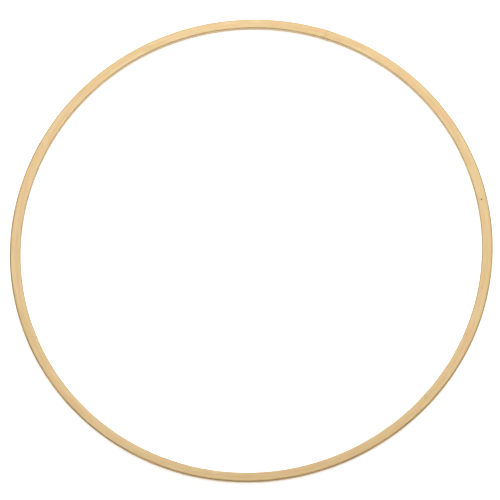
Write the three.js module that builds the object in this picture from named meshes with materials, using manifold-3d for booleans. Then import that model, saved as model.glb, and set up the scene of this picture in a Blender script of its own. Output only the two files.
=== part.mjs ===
// Wreath frame: a hoop of two bent bamboo laths, one inside the other, glued face to face.
// Each lath goes once round the hoop, and its two ends are bevelled and glued into a long scarf.
// Millimetres. The hoop lies flat in the XY plane, +Z up, with its centre on the Z axis
// and its underside at Z = 0.
// Angles are in degrees, anticlockwise from +X as seen from above.

import * as THREE from 'three';
import { mergeVertices } from 'three/addons/utils/BufferGeometryUtils.js';
import Module from 'manifold-3d';

// Driving dimensions
const OUTER_RADIUS = 150;
const LATH_THICKNESS = 3.1;
const LATH_HEIGHT = 5;
const GLUE_THICKNESS = 0.1;
const OUTER_EDGE_RADIUS = 1.2;
const INNER_EDGE_RADIUS = 0.7;

// The bent hoop has sprung slightly out of round: its radius swells and shrinks by this much.
const OUT_OF_ROUND = 1.45;
const LONG_AXIS_ANGLE = 30;

// Scarf joints, on opposite sides of the hoop. Each begins and ends midway between two stations.
const SCARF_SPAN = 12.5;
const INNER_SCARF_START = 61.25;
const OUTER_SCARF_START = 241.25;

// Faceting: stations round the hoop, and steps in each rounded edge
const STATION_COUNT = 144;
const EDGE_STEPS = 4;

// How far a rough lath reaches past the hoop's walls and faces before it is shaped
const ROUGH_ALLOWANCE = 1;

// Radial offsets from the hoop's outer wall, negative inwards
const OUTER_WALL = 0;
const OUTER_LATH_BACK = OUTER_WALL - LATH_THICKNESS;
const INNER_LATH_BACK = OUTER_LATH_BACK - GLUE_THICKNESS;
const INNER_WALL = INNER_LATH_BACK - LATH_THICKNESS;

const FULL_TURN = 360;
const QUARTER_TURN = 90;
const STATION_STEP = FULL_TURN / STATION_COUNT;

const wasm = await Module();
wasm.setup();

const bamboo = { color: 0xe3c48f, roughness: 0.55, metalness: 0 };
const innerBamboo = { color: 0xdcb981, roughness: 0.55, metalness: 0 };
const glue = { color: 0xb08a52, roughness: 0.35, metalness: 0 };

// Distance from the hoop's centre at an angle and a radial offset
function hoopRadius(angle, offset) {
  const fromLongAxis = THREE.MathUtils.degToRad(angle - LONG_AXIS_ANGLE);
  return OUTER_RADIUS + offset + OUT_OF_ROUND * Math.cos(2 * fromLongAxis);
}

function smoothPoint(angle, offset) {
  const turn = THREE.MathUtils.degToRad(angle % FULL_TURN);
  const radius = hoopRadius(angle, offset);
  return new THREE.Vector2(radius * Math.cos(turn), radius * Math.sin(turn));
}

// A point on the faceted hoop: at a station, or on the straight facet between two stations
function facetPoint(angle, offset) {
  const station = Math.floor(angle / STATION_STEP);
  const share = angle / STATION_STEP - station;
  const before = smoothPoint(station * STATION_STEP, offset);
  if (share === 0) return before;
  return before.lerp(smoothPoint((station + 1) * STATION_STEP, offset), share);
}

// The stations strictly between two angles, in rising order
function stationsBetween(low, high) {
  const angles = [];
  const first = Math.floor(low / STATION_STEP) + 1;
  for (let station = first; station * STATION_STEP < high; station += 1) {
    angles.push(station * STATION_STEP);
  }
  return angles;
}

// Points along the hoop at one radial offset, from one angle up to another, ends included
function arcPoints(low, high, offset) {
  return [low, ...stationsBetween(low, high), high].map((angle) => facetPoint(angle, offset));
}

function ringPoints(offset) {
  return arcPoints(0, FULL_TURN - STATION_STEP, offset);
}

// A scarf crosses one lath at a steady slope, from the lath's glued back to its open wall.
// Its two bevelled faces lie half a film of glue to either side of its middle line.
function makeScarf(start, back, wall) {
  const outwards = Math.sign(wall - back);
  const slope = (wall - back) / SCARF_SPAN;
  const margin = wall + outwards * ROUGH_ALLOWANCE;
  const offsetAt = (angle, side) => back + slope * (angle - start) + (side * GLUE_THICKNESS) / 2;
  const angleAt = (offset, side) => start + (offset - back - (side * GLUE_THICKNESS) / 2) / slope;
  return { outwards, back, margin, offsetAt, angleAt };
}

// The points of one bevelled face, from the lath's back to the margin past its wall
function bevelPoints(scarf, side, turn) {
  const low = scarf.angleAt(scarf.back, side);
  const high = scarf.angleAt(scarf.margin, side);
  const along = stationsBetween(low, high).map((angle) => [angle, scarf.offsetAt(angle, side)]);
  const points = [[low, scarf.back], ...along, [high, scarf.margin]];
  return points.map(([angle, offset]) => facetPoint(angle + turn, offset));
}

// Plan of a lath: once round the hoop from its leading bevel to its trailing bevel,
// which comes back over the leading one on the side of the open wall
function lathPlan(scarf) {
  const leading = -scarf.outwards;
  const trailing = scarf.outwards;
  const backStart = scarf.angleAt(scarf.back, leading);
  const backEnd = scarf.angleAt(scarf.back, trailing) + FULL_TURN;
  const marginStart = scarf.angleAt(scarf.margin, leading);
  const marginEnd = scarf.angleAt(scarf.margin, trailing) + FULL_TURN;
  return [
    ...arcPoints(backStart, backEnd, scarf.back),
    ...bevelPoints(scarf, trailing, FULL_TURN).slice(1, -1),
    ...arcPoints(marginStart, marginEnd, scarf.margin).reverse(),
    ...bevelPoints(scarf, leading, 0).slice(1, -1).reverse(),
  ];
}

// Plan of the film of glue between the two bevels of a scarf
function scarfGluePlan(scarf) {
  return [...bevelPoints(scarf, 1, 0), ...bevelPoints(scarf, -1, 0).reverse()];
}

// The rounded section that the laths are planed to, its corners taken in turn from the lower outer one.
// The outer edges are rounded more than the inner ones.
function sectionOutline() {
  const outerX = OUTER_RADIUS - OUTER_EDGE_RADIUS;
  const innerX = OUTER_RADIUS + INNER_WALL + INNER_EDGE_RADIUS;
  const corners = [
    { x: outerX, y: OUTER_EDGE_RADIUS, radius: OUTER_EDGE_RADIUS },
    { x: outerX, y: LATH_HEIGHT - OUTER_EDGE_RADIUS, radius: OUTER_EDGE_RADIUS },
    { x: innerX, y: LATH_HEIGHT - INNER_EDGE_RADIUS, radius: INNER_EDGE_RADIUS },
    { x: innerX, y: INNER_EDGE_RADIUS, radius: INNER_EDGE_RADIUS },
  ];
  const outline = [];
  corners.forEach(({ x, y, radius }, corner) => {
    for (let step = 0; step <= EDGE_STEPS; step += 1) {
      const turn = THREE.MathUtils.degToRad(QUARTER_TURN * (corner - 1 + step / EDGE_STEPS));
      outline.push(new THREE.Vector2(x + radius * Math.cos(turn), y + radius * Math.sin(turn)));
    }
  });
  outline.push(outline[0].clone());
  return outline;
}

// The finished outside shape of the whole hoop, out of round like the real one
function hoopGeometry() {
  const geometry = new THREE.LatheGeometry(sectionOutline(), STATION_COUNT);
  geometry.rotateX(Math.PI / 2);
  const position = geometry.getAttribute('position');
  for (let i = 0; i < position.count; i += 1) {
    const x = position.getX(i);
    const y = position.getY(i);
    const radius = Math.hypot(x, y);
    const angle = THREE.MathUtils.radToDeg(Math.atan2(y, x));
    const stretch = hoopRadius(angle, radius - OUTER_RADIUS) / radius;
    position.setXY(i, x * stretch, y * stretch);
  }
  return geometry;
}

function toSolid(geometry) {
  const bare = geometry.clone();
  bare.deleteAttribute('normal');
  bare.deleteAttribute('uv');
  const merged = mergeVertices(bare);
  const vertProperties = new Float32Array(merged.getAttribute('position').array);
  const triVerts = new Uint32Array(merged.getIndex().array);
  return new wasm.Manifold(new wasm.Mesh({ numProp: 3, vertProperties, triVerts }));
}

function fromSolid(solid) {
  const { vertProperties, triVerts } = solid.getMesh();
  const geometry = new THREE.BufferGeometry();
  geometry.setAttribute('position', new THREE.BufferAttribute(vertProperties, 3));
  geometry.setIndex(new THREE.BufferAttribute(triVerts, 1));
  geometry.computeVertexNormals();
  return geometry;
}

// A rough piece cut to its plan, then planed to the hoop's outside shape
function shapedPiece(plan, hoop) {
  const depth = LATH_HEIGHT + 2 * ROUGH_ALLOWANCE;
  const rough = new THREE.ExtrudeGeometry(new THREE.Shape(plan), { depth, bevelEnabled: false });
  rough.translate(0, 0, -ROUGH_ALLOWANCE);
  return fromSolid(toSolid(rough).intersect(hoop));
}

function ringFilm(outerOffset, innerOffset) {
  const shape = new THREE.Shape(ringPoints(outerOffset));
  shape.holes.push(new THREE.Path(ringPoints(innerOffset)));
  return new THREE.ExtrudeGeometry(shape, { depth: LATH_HEIGHT, bevelEnabled: false });
}

function addPart(group, name, geometry, finish) {
  const mesh = new THREE.Mesh(geometry, new THREE.MeshStandardMaterial(finish));
  mesh.name = name;
  group.add(mesh);
}

const hoop = toSolid(hoopGeometry());
const outerScarf = makeScarf(OUTER_SCARF_START, OUTER_LATH_BACK, OUTER_WALL);
const innerScarf = makeScarf(INNER_SCARF_START, INNER_LATH_BACK, INNER_WALL);

const wreathFrame = new THREE.Group();
addPart(wreathFrame, 'outer_lath', shapedPiece(lathPlan(outerScarf), hoop), bamboo);
addPart(wreathFrame, 'inner_lath', shapedPiece(lathPlan(innerScarf), hoop), innerBamboo);
addPart(wreathFrame, 'lamination_glue_line', ringFilm(OUTER_LATH_BACK, INNER_LATH_BACK), glue);
addPart(wreathFrame, 'outer_scarf_glue', shapedPiece(scarfGluePlan(outerScarf), hoop), glue);
addPart(wreathFrame, 'inner_scarf_glue', shapedPiece(scarfGluePlan(innerScarf), hoop), glue);

export default wreathFrame;
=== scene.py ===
import math

import bpy
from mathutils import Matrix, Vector, noise


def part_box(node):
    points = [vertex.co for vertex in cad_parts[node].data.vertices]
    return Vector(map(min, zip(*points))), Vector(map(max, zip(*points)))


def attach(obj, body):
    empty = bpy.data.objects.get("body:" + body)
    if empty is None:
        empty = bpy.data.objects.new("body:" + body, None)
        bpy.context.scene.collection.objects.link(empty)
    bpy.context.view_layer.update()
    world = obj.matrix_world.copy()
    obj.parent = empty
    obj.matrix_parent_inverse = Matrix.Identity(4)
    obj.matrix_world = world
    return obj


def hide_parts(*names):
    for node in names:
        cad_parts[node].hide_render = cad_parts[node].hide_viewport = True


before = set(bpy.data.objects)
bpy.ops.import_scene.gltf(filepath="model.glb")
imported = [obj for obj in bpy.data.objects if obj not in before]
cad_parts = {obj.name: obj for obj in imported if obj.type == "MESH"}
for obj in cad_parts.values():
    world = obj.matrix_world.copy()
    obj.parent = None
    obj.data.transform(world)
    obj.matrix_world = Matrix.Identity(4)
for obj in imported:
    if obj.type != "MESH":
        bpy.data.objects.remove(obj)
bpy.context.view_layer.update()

# A bent bamboo hoop: two laths glued face to face, each with one long scarf joint.
# Metres. Angles are in radians, anticlockwise from +X as seen from above.
# A place on the hoop is (angle, offset, z). The offset is measured outwards from the hoop's outer wall.

MM = 0.001
TURN = 2 * math.pi

# ---- Sizes read from the frame ----

LONG_AXIS = math.radians(30)
outer_low, outer_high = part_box("outer_lath")
inner_low, inner_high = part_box("inner_lath")
film_low, film_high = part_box("lamination_glue_line")

HEIGHT = outer_high.z
OUTER_RADIUS = (outer_high.x + outer_high.y) / 2
OUT_OF_ROUND = (outer_high.x - outer_high.y) / (2 * math.cos(2 * LONG_AXIS))
OUTER_BACK = (film_high.x + film_high.y) / 2 - OUTER_RADIUS
INNER_BACK = (inner_high.x + inner_high.y) / 2 - OUTER_RADIUS
THICKNESS = -OUTER_BACK
INNER_WALL = INNER_BACK - THICKNESS
GLUE = OUTER_BACK - INNER_BACK

# ---- Sizes of the finish ----

OUTER_EDGE_RADIUS = 1.2 * MM
INNER_EDGE_RADIUS = 0.7 * MM
EDGE_UNEVENNESS = 0.15
WIDTH_SWING = 0.075
WAVERS = [(3, 0.10 * MM, 0.7), (5, 0.06 * MM, 2.1)]
SEAM_CHAMFER = 0.015 * MM
FILM_RECESS = 0.025 * MM
TIP_THICKNESS = 0.04 * MM

# Steps of the meshes: along the hoop, and up the glued back and the open wall of a lath
STATION_STEP = math.radians(0.5)
BACK_STEPS = 4
WALL_STEPS = 6

# Relief left by the plane and by the fibres, always cut into the surface
PLANING_DEPTH = 0.05 * MM
PLANING_GRAIN = (14 * MM, 5 * MM)
FIBRE_DEPTH = 0.03 * MM
FIBRE_GRAIN = (30 * MM, 0.8 * MM)

# Bamboo nodes: a low swelling across the wall with a fine scar in its middle
NODE_SWELLING = 0.12 * MM
NODE_REACH = 4 * MM
SCAR_DEPTH = 0.06 * MM
SCAR_REACH = 0.5 * MM
NODE_STEP = math.radians(0.15)
OUTER_NODES = [math.radians(angle) for angle in (71.6, 153.6, 272.6)]
INNER_NODES = [math.radians(angle) for angle in (70.9, 202.6, 318)]

# ---- Sizes of the marks in the materials ----

# A node's thin line, which leans across the lath, and the darker band that it lies in
NODE_LEAN = math.tan(math.radians(40))
NODE_WAVER = 1.6 * MM
NODE_BAND = 3.0 * MM
NODE_LINE = 0.5 * MM

# The line of painted shade and dust along an edge, in from the wall as shares of the edge's radius:
# on each side it rises from nothing at the first share to its full strength at the second
SHADE_AND_DUST_RISE_AT_WALL = (0.0, 0.20)
SHADE_AND_DUST_RISE_AT_FACE = (0.62, 0.42)
SHADE_AND_DUST_STRENGTH = 0.90

FLECK_ANGLE = math.radians(12.1)
FLECK_FROM_SEAM = 0.32 * MM
FLECK_RADIUS = 0.60 * MM

# One stretch of the strip, round this angle, is painted darker than the rest: painted shade on the front
# of the hoop, away from the rear light
PAINTED_SHADE_ANGLE = math.radians(-75)

# ---- Table, light levels and camera ----

TABLE_RADIUS = 12
TABLE_DROP = 0.02 * MM

# The table glows more away from the hoop, from one distance to the other
NEAR_FLOOR = 0.25
FAR_FLOOR = 0.70
FLOOR_GLOW = 0.68
FAR_FLOOR_GLOW = 1.1

ROOM_LIGHT = 0.02
HORIZON_LIGHT = 1.1
REAR_POWER = 3.0
OVERHEAD_POWER = 15.0
FRONT_POWER = 0.4
RIGHT_POWER = 1.8

CAMERA_ELEVATION = math.radians(75.85)
CAMERA_DISTANCE = 2.667
CAMERA_LENS = 306.8
CAMERA_TARGET = (-0.80 * MM, -0.55 * MM, 0)


def hoop_point(angle, offset, z):
    """A point of the hoop, with the slow waver of a strip bent by hand round a former."""
    waver = sum(height * math.cos(waves * angle + start) for waves, height, start in WAVERS)
    middle = INNER_WALL / 2
    width = 1 + WIDTH_SWING * math.cos(2 * angle)
    middle_radius = OUTER_RADIUS + middle + waver + OUT_OF_ROUND * math.cos(2 * (angle - LONG_AXIS))
    radius = middle_radius + (offset - middle) * width
    return Vector((radius * math.cos(angle), radius * math.sin(angle), z))


def span(low, high, step):
    """Evenly spread values from low to high, both included, no further apart than step."""
    count = max(1, math.ceil((high - low) / step))
    return [low + (high - low) * i / count for i in range(count + 1)]


def between(start, stop, count):
    """The values that part the way from start to stop into count equal steps, ends left out."""
    return [start + (stop - start) * i / count for i in range(1, count)]


def grain_noise(angle, offset, z, length, width):
    """Noise from -1 to 1 that is drawn out along the strip."""
    return noise.noise(Vector((angle * OUTER_RADIUS / length, offset / width, z / width)))


# ---- Laths ----

def scarf_angles(node):
    """Where a scarf starts and ends, read from the box of its film of glue."""
    low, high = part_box(node)
    if high.x > 0:
        corners = [(high.x, low.y), (low.x, high.y)]
    else:
        corners = [(low.x, high.y), (high.x, low.y)]
    return [math.atan2(y, x) % TURN for x, y in corners]


class Lath:
    """One strip of bamboo: its glued back, its open wall, its rounded edges, its scarf and its nodes."""

    def __init__(self, scarf_node, back, wall, edge, nodes):
        self.start, self.end = scarf_angles(scarf_node)
        self.back = back
        self.wall = wall
        self.edge = edge
        self.nodes = nodes
        self.outwards = 1 if wall > back else -1

    def scarf_middle(self, angle):
        """Offset of the scarf's middle line, which runs from the back out to the wall."""
        share = (angle - self.start) / (self.end - self.start)
        return self.back + (self.wall - self.back) * share

    def along_from_node(self, angle):
        """Distance along the strip from the nearest node, positive anticlockwise."""
        turns = [(angle - node + TURN / 2) % TURN - TURN / 2 for node in self.nodes]
        return min(turns, key=abs) * OUTER_RADIUS


outer = Lath("outer_scarf_glue", OUTER_BACK, 0.0, OUTER_EDGE_RADIUS, OUTER_NODES)
inner = Lath("inner_scarf_glue", INNER_BACK, INNER_WALL, INNER_EDGE_RADIUS, INNER_NODES)


# ---- Sections ----

def edge_radius(lath, angle):
    """The rounded edge's radius, uneven because the edge was sanded by hand."""
    place = Vector((math.cos(angle), math.sin(angle), 0)) * 6
    return lath.edge * (1 + EDGE_UNEVENNESS * noise.noise(place))


def edge_fall(depth, radius):
    """How far a rounded edge falls below the flat face, at a depth in from the wall."""
    if depth >= radius:
        return 0.0
    return radius - math.sqrt(depth * (2 * radius - depth))


def face_depths(radius):
    """Depths from wall to back of the points across a face, close together on the rounded edge."""
    rounded = [radius * (1 - math.cos(math.radians(angle))) for angle in range(0, 90, 15)]
    return rounded + span(radius, THICKNESS - SEAM_CHAMFER, 0.35 * MM) + [THICKNESS]


def lath_section(lath, angle, near_wall, near_back):
    """The lath's cross-section between two offsets, as (offset, z) going round it once."""
    radius = edge_radius(lath, angle)
    uncut_back = abs(near_back - lath.back) < 1e-9
    face = []
    for depth in face_depths(lath.edge):
        share = depth / THICKNESS
        offset = near_wall + (near_back - near_wall) * share
        fall = edge_fall(abs(offset - lath.wall), radius)
        if uncut_back and share == 1:
            fall += SEAM_CHAMFER
        face.append((offset, fall))
    wall_fall = face[0][1]
    back_fall = face[-1][1]
    top = [(offset, HEIGHT - fall) for offset, fall in face]
    back = [(near_back, z) for z in between(HEIGHT - back_fall, back_fall, BACK_STEPS)]
    bottom = [(offset, fall) for offset, fall in reversed(face)]
    wall = [(near_wall, z) for z in between(wall_fall, HEIGHT - wall_fall, WALL_STEPS)]
    return top + back + bottom + wall


def node_relief(along):
    """How far the wall stands out at a distance along the strip from a node."""
    swelling = NODE_SWELLING * math.exp(-(along / NODE_REACH) ** 2)
    return swelling - SCAR_DEPTH * math.exp(-(along / SCAR_REACH) ** 2)


def worked(lath, angle, offset, z):
    """A point of the section after planing and handling, moved square to the surface it is on."""
    depth = abs(offset - lath.wall)
    fall = min(z, HEIGHT - z)
    toward_wall = max(lath.edge - depth, 0)
    toward_face = max(lath.edge - fall, 0)
    length = math.hypot(toward_wall, toward_face)
    if length == 0:
        return offset, z
    wall_share = toward_wall / length
    face_share = toward_face / length
    planing = PLANING_DEPTH * (1 + grain_noise(angle, offset, z, *PLANING_GRAIN)) / 2
    fibre = FIBRE_DEPTH * (1 + grain_noise(angle, offset, z, *FIBRE_GRAIN)) / 2
    out = node_relief(lath.along_from_node(angle)) * wall_share - planing - fibre
    up = 1 if z > HEIGHT / 2 else -1
    return offset + lath.outwards * wall_share * out, z - up * face_share * (planing + fibre)


# ---- Meshes ----

def loft(name, stations, closed=False):
    """A closed mesh through sections with the same number of points, each as (angle, [(offset, z), ...]).
    The attribute "grain" keeps each point's place along, across and up the strip."""
    size = len(stations[0][1])
    count = len(stations)
    points = []
    grain = []
    for angle, section in stations:
        for offset, z in section:
            points.append(hoop_point(angle, offset, z))
            grain.extend((angle * OUTER_RADIUS, offset, z))
    faces = []
    for i in range(count if closed else count - 1):
        here = i * size
        there = (i + 1) % count * size
        for j in range(size):
            k = (j + 1) % size
            faces.append((here + j, here + k, there + k, there + j))
    if not closed:
        faces.append(tuple(reversed(range(size))))
        faces.append(tuple(range((count - 1) * size, count * size)))
    mesh = bpy.data.meshes.new(name)
    mesh.from_pydata(points, [], faces)
    mesh.attributes.new("grain", "FLOAT_VECTOR", "POINT").data.foreach_set("vector", grain)
    obj = bpy.data.objects.new(name, mesh)
    bpy.context.scene.collection.objects.link(obj)
    return obj


def lath_angles(lath, low, high):
    """Evenly spread angles, with more of them at the nodes."""
    angles = set(span(low, high, STATION_STEP))
    reach = 2 * NODE_REACH / OUTER_RADIUS
    for node in lath.nodes:
        for turn in (0, TURN):
            for angle in span(node + turn - reach, node + turn + reach, NODE_STEP):
                if low < angle < high:
                    angles.add(angle)
    return sorted(angles)


def lath_stations(lath):
    """Once round the hoop: the leading bevel, the whole strip, then the trailing bevel."""
    gap = lath.outwards * GLUE / 2
    tip = lath.outwards * TIP_THICKNESS
    first_turn = []
    for angle in span(lath.start, lath.end, STATION_STEP):
        bevel = lath.scarf_middle(angle) - gap
        if (bevel - lath.back) * lath.outwards < TIP_THICKNESS:
            bevel = lath.back + tip
        first_turn.append((angle, bevel, lath.back))
    middle_angles = lath_angles(lath, lath.end, lath.start + TURN)[1:-1]
    whole = [(angle, lath.wall, lath.back) for angle in middle_angles]
    last_turn = []
    for angle in span(lath.start, lath.end, STATION_STEP):
        bevel = lath.scarf_middle(angle) + gap
        if (lath.wall - bevel) * lath.outwards < TIP_THICKNESS:
            bevel = lath.wall - tip
        last_turn.append((angle + TURN, lath.wall, bevel))
    stations = []
    for angle, near_wall, near_back in first_turn + whole + last_turn:
        section = lath_section(lath, angle, near_wall, near_back)
        stations.append((angle, [worked(lath, angle, offset, z) for offset, z in section]))
    return stations


def build_lath(name, lath):
    stations = lath_stations(lath)
    obj = loft(name, stations)
    mesh = obj.data
    along = [lath.along_from_node(angle) for angle, section in stations for _ in section]
    mesh.attributes.new("node_distance", "FLOAT", "POINT").data.foreach_set("value", along)
    mesh.shade_smooth()
    mesh.set_sharp_from_angle(angle=math.radians(38))
    return obj


def film_section(offset_a, offset_b, low_a, low_b):
    """The cross-section of a film of glue between two offsets, held below both faces."""
    return [
        (offset_a, HEIGHT - low_a),
        (offset_b, HEIGHT - low_b),
        (offset_b, HEIGHT / 2),
        (offset_b, low_b),
        (offset_a, low_a),
        (offset_a, HEIGHT / 2),
    ]


def build_scarf_film(name, lath):
    stations = []
    for angle in span(lath.start, lath.end, STATION_STEP):
        radius = edge_radius(lath, angle)
        sides = [lath.scarf_middle(angle) + side * GLUE / 2 for side in (1, -1)]
        lows = [edge_fall(abs(offset - lath.wall), radius) + FILM_RECESS for offset in sides]
        stations.append((angle, film_section(*sides, *lows)))
    return loft(name, stations)


def build_lamination_film(name):
    stations = []
    for angle in span(0, TURN, STATION_STEP)[:-1]:
        place = Vector((math.cos(angle), math.sin(angle), 3)) * 40
        low = FILM_RECESS * (1 + 0.3 * noise.noise(place))
        stations.append((angle, film_section(OUTER_BACK, INNER_BACK, low, low)))
    return loft(name, stations, closed=True)


# ---- Materials ----

def srgb(red, green, blue):
    """A colour given as 0 to 255 on the screen, in Blender's linear values."""
    def linear(value):
        share = value / 255
        return share / 12.92 if share <= 0.04045 else ((share + 0.055) / 1.055) ** 2.4
    return (linear(red), linear(green), linear(blue), 1)


class Shader:
    """A new material, with short calls that add nodes to it."""

    def __init__(self, name):
        self.material = bpy.data.materials.new(name)
        self.material.use_nodes = True
        self.tree = self.material.node_tree
        self.surface = self.tree.nodes["Principled BSDF"].inputs

    def put(self, value, socket):
        if isinstance(value, bpy.types.NodeSocket):
            self.tree.links.new(value, socket)
        else:
            socket.default_value = value

    def node(self, kind, inputs, **settings):
        """A new node with its inputs filled, by name or by number."""
        node = self.tree.nodes.new(kind)
        for key, value in settings.items():
            setattr(node, key, value)
        for key, value in inputs.items():
            self.put(value, node.inputs[key])
        return node

    def attribute(self, name, output):
        return self.node("ShaderNodeAttribute", {}, attribute_name=name).outputs[output]

    def math(self, operation, *values):
        return self.node("ShaderNodeMath", dict(enumerate(values)), operation=operation).outputs[0]

    def vector_math(self, operation, *values):
        return self.node("ShaderNodeVectorMath", dict(enumerate(values)), operation=operation)

    def noise(self, place, lengths, detail=2.0, roughness=0.5):
        """Noise whose grains measure about these lengths along, across and up the strip."""
        scaled = self.vector_math("DIVIDE", place, lengths).outputs[0]
        inputs = {"Vector": scaled, "Scale": 1.0, "Detail": detail, "Roughness": roughness}
        return self.node("ShaderNodeTexNoise", inputs).outputs[0]

    def rise(self, value, low, high, top=1.0):
        """Smoothly from 0 at low to top at high."""
        inputs = {"Value": value, "From Min": low, "From Max": high, "To Max": top}
        return self.node("ShaderNodeMapRange", inputs, interpolation_type="SMOOTHSTEP").outputs[0]

    def mix(self, share, a, b):
        node = self.node("ShaderNodeMix", {}, data_type="RGBA")
        for key, value in (("Factor", share), ("A", a), ("B", b)):
            self.put(value, node.inputs[key])
        return node.outputs["Result"]

    def bump(self, height, distance):
        self.put(self.node("ShaderNodeBump", {"Height": height, "Distance": distance}).outputs[0],
                 self.surface["Normal"])


FLECK_COLOUR = srgb(112, 64, 0)
# The colour of the line along the edges: painted shade with some dust
SHADE_AND_DUST_COLOUR = srgb(142, 118, 84)

# The middle of the one dark fleck, a spot of resin on the top face beside the seam
FLECK_PLACE = hoop_point(FLECK_ANGLE, INNER_BACK - FLECK_FROM_SEAM, HEIGHT)

# The way from the hoop's centre to its stretch of painted shade
TOWARD_PAINTED_SHADE = (math.cos(PAINTED_SHADE_ANGLE), math.sin(PAINTED_SHADE_ANGLE), 0)


def bamboo_material(name, lath, straw, peach, pale, shade_tone, brown):
    s = Shader(name)
    grain = s.attribute("grain", "Vector")
    node_distance = s.attribute("node_distance", "Fac")

    # Soft patches of colour, then fibres and darker vessels, closer together on the side of the bark
    mottle = s.noise(grain, (13 * MM, 4 * MM, 4 * MM))
    cloud = s.noise(grain, (34 * MM, 6 * MM, 6 * MM), detail=3.0)
    fibre = s.noise(grain, (45 * MM, 0.40 * MM, 0.40 * MM), detail=4.0, roughness=0.6)
    vessels = s.noise(grain, (10 * MM, 0.28 * MM, 0.28 * MM), detail=1.0)
    across = s.node("ShaderNodeSeparateXYZ", {0: grain}).outputs["Y"]
    bark = s.rise(across, min(lath.back, lath.wall), max(lath.back, lath.wall), 0.05)
    colour = s.mix(s.rise(mottle, 0.40, 0.62), straw, peach)
    colour = s.mix(s.rise(cloud, 0.42, 0.66), colour, pale)
    colour = s.mix(s.rise(fibre, 0.46, 0.74, 0.16), colour, brown)
    colour = s.mix(s.rise(s.math("ADD", vessels, bark), 0.66, 0.80, 0.22), colour, brown)
    place = s.node("ShaderNodeTexCoord", {}).outputs["Object"]
    # Painted shade: the colour is mixed toward a darker tone over the stretch of the hoop's front round
    # one angle
    toward_painted_shade = s.vector_math("DOT_PRODUCT", place, TOWARD_PAINTED_SHADE).outputs["Value"]
    colour = s.mix(s.rise(toward_painted_shade, 0.6 * OUTER_RADIUS, OUTER_RADIUS, 0.30), colour, shade_tone)

    # Nodes: a thin wavy line that leans across the lath, in a slightly darker band
    waver = s.noise(grain, (2 * MM, 1.2 * MM, 1.2 * MM))
    leaning = s.math("MULTIPLY_ADD", s.math("SUBTRACT", across, OUTER_BACK), NODE_LEAN, node_distance)
    wavy = s.math("MULTIPLY_ADD", s.math("SUBTRACT", waver, 0.5), NODE_WAVER, leaning)
    away = s.math("ABSOLUTE", wavy)
    colour = s.mix(s.rise(away, NODE_BAND, 0.4 * MM, 0.07), colour, brown)
    colour = s.mix(s.rise(away, NODE_LINE, 0.15 * MM, 0.22), colour, brown)

    # Edges: a thin darker line where the face turns over, painted shade with some rubbed-in dust
    depth = s.math("ABSOLUTE", s.math("SUBTRACT", across, lath.wall))
    past_face = s.rise(depth, *(share * lath.edge for share in SHADE_AND_DUST_RISE_AT_FACE))
    before_wall = s.rise(depth, *(share * lath.edge for share in SHADE_AND_DUST_RISE_AT_WALL))
    shade_and_dust_patches = s.noise(grain, (6 * MM, 0.5 * MM, 0.5 * MM), detail=3.0, roughness=0.6)
    shade_and_dust = s.math("MULTIPLY", past_face, before_wall)
    shade_and_dust = s.math("MULTIPLY", shade_and_dust, s.rise(s.math("ADD", cloud, shade_and_dust_patches), 0.55, 1.15, SHADE_AND_DUST_STRENGTH))
    colour = s.mix(shade_and_dust, colour, SHADE_AND_DUST_COLOUR)

    # The dark fleck
    fleck_distance = s.vector_math("DISTANCE", place, FLECK_PLACE).outputs["Value"]
    fleck = s.rise(fleck_distance, FLECK_RADIUS, 0.6 * FLECK_RADIUS)
    colour = s.mix(fleck, colour, FLECK_COLOUR)

    s.put(colour, s.surface["Base Color"])
    s.put(s.math("MULTIPLY_ADD", fibre, 0.12, 0.22), s.surface["Roughness"])
    s.surface["Specular IOR Level"].default_value = 0.5
    pits = s.rise(vessels, 0.60, 0.74)
    s.bump(s.math("SUBTRACT", fibre, pits), 0.04 * MM)
    return s.material


def glue_material():
    s = Shader("cured_glue")
    flow = s.noise(s.attribute("grain", "Vector"), (3 * MM, 0.5 * MM, 0.5 * MM), detail=3.0)
    s.put(s.mix(flow, srgb(220, 186, 126), srgb(206, 170, 110)), s.surface["Base Color"])
    s.surface["Roughness"].default_value = 0.35
    s.bump(flow, 0.03 * MM)
    return s.material


def floor_material():
    """White and softly lit from below, like a light table, so that the hoop's walls are lit too."""
    s = Shader("white_table")
    place = s.node("ShaderNodeTexCoord", {}).outputs["Object"]
    distance = s.vector_math("LENGTH", place).outputs["Value"]
    farther = s.rise(distance, NEAR_FLOOR, FAR_FLOOR, FAR_FLOOR_GLOW - FLOOR_GLOW)
    patches = s.noise(place, (0.4, 0.4, 0.4))
    s.put(s.mix(patches, srgb(214, 214, 214), srgb(218, 218, 218)), s.surface["Base Color"])
    s.surface["Roughness"].default_value = 0.6
    s.surface["Emission Color"].default_value = (1, 1, 1, 1)
    s.put(s.math("ADD", farther, FLOOR_GLOW), s.surface["Emission Strength"])
    return s.material


# ---- The object ----

def finish_piece(obj, material, node):
    obj.data.materials.append(material)
    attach(obj, "root")
    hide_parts(node)


# The fourth colour of each bamboo is the tone of the painted shade on the front of the hoop
outer_bamboo = bamboo_material(
    "outer_bamboo", outer,
    srgb(229, 195, 127), srgb(233, 190, 131), srgb(235, 202, 140), srgb(208, 166, 97), srgb(170, 122, 65)
)
inner_bamboo = bamboo_material(
    "inner_bamboo", inner,
    srgb(228, 194, 127), srgb(232, 189, 130), srgb(234, 201, 140), srgb(208, 166, 97), srgb(169, 121, 64)
)
glue = glue_material()

finish_piece(build_lath("bent_outer_lath", outer), outer_bamboo, "outer_lath")
finish_piece(build_lath("bent_inner_lath", inner), inner_bamboo, "inner_lath")
finish_piece(build_lamination_film("ring_glue_film"), glue, "lamination_glue_line")
finish_piece(build_scarf_film("outer_scarf_film", outer), glue, "outer_scarf_glue")
finish_piece(build_scarf_film("inner_scarf_film", inner), glue, "inner_scarf_glue")


# ---- Table, light and camera ----

def build_table():
    place = (0, 0, -TABLE_DROP)
    bpy.ops.mesh.primitive_circle_add(vertices=96, radius=TABLE_RADIUS, fill_type="NGON", location=place)
    table = bpy.context.object
    table.name = "table"
    table.data.materials.append(floor_material())


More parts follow.
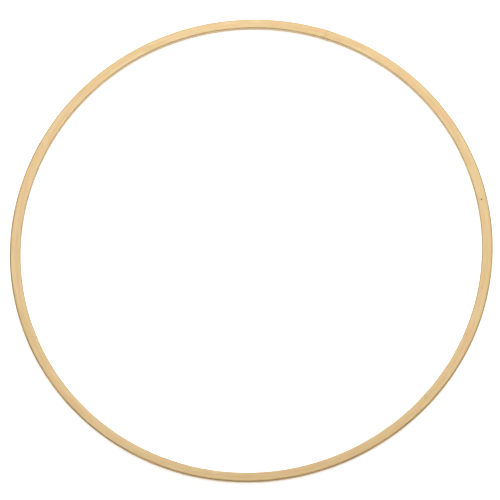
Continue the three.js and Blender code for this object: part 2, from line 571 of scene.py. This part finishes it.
def area_light(name, place, size, power):
    """A softbox that faces the hoop's centre."""
    data = bpy.data.lights.new(name, "AREA")
    data.shape = "RECTANGLE"
    data.size, data.size_y = size
    data.energy = power
    light = bpy.data.objects.new(name, data)
    light.location = place
    light.rotation_euler = (-Vector(place)).to_track_quat("-Z", "Y").to_euler()
    bpy.context.scene.collection.objects.link(light)


def build_room():
    """A dim room whose walls are bright and white near the floor."""
    world = bpy.data.worlds.new("soft_room")
    world.use_nodes = True
    tree = world.node_tree
    background = tree.nodes["Background"]
    background.inputs["Color"].default_value = (1, 1, 1, 1)
    place = tree.nodes.new("ShaderNodeTexCoord")
    split = tree.nodes.new("ShaderNodeSeparateXYZ")
    level = tree.nodes.new("ShaderNodeMapRange")
    level.inputs["From Min"].default_value = 0.06
    level.inputs["From Max"].default_value = 0.16
    level.inputs["To Min"].default_value = HORIZON_LIGHT
    level.inputs["To Max"].default_value = ROOM_LIGHT
    tree.links.new(place.outputs["Generated"], split.inputs[0])
    tree.links.new(split.outputs["Z"], level.inputs["Value"])
    tree.links.new(level.outputs[0], background.inputs["Strength"])
    bpy.context.scene.world = world


def build_camera(elevation, distance, target, lens):
    data = bpy.data.cameras.new("camera")
    data.sensor_width = 36
    data.lens = lens
    data.clip_end = 60
    camera = bpy.data.objects.new("camera", data)
    back = Vector((0, -math.cos(elevation), math.sin(elevation)))
    camera.location = Vector(target) + back * distance
    camera.rotation_euler = (-back).to_track_quat("-Z", "Y").to_euler()
    bpy.context.scene.collection.objects.link(camera)
    bpy.context.scene.camera = camera


build_table()
build_room()
area_light("rear_softbox", (0, 0.55, 0.6), (0.9, 0.5), REAR_POWER)
area_light("overhead_softbox", (0, 0.15, 1.5), (1.2, 1.2), OVERHEAD_POWER)
area_light("front_softbox", (0, -1.4, 0.9), (1.6, 0.8), FRONT_POWER)
area_light("right_softbox", (1.0, 0.4, 0.8), (0.8, 0.8), RIGHT_POWER)
build_camera(CAMERA_ELEVATION, CAMERA_DISTANCE, CAMERA_TARGET, CAMERA_LENS)
bpy.context.scene.view_settings.view_transform = "Standard"
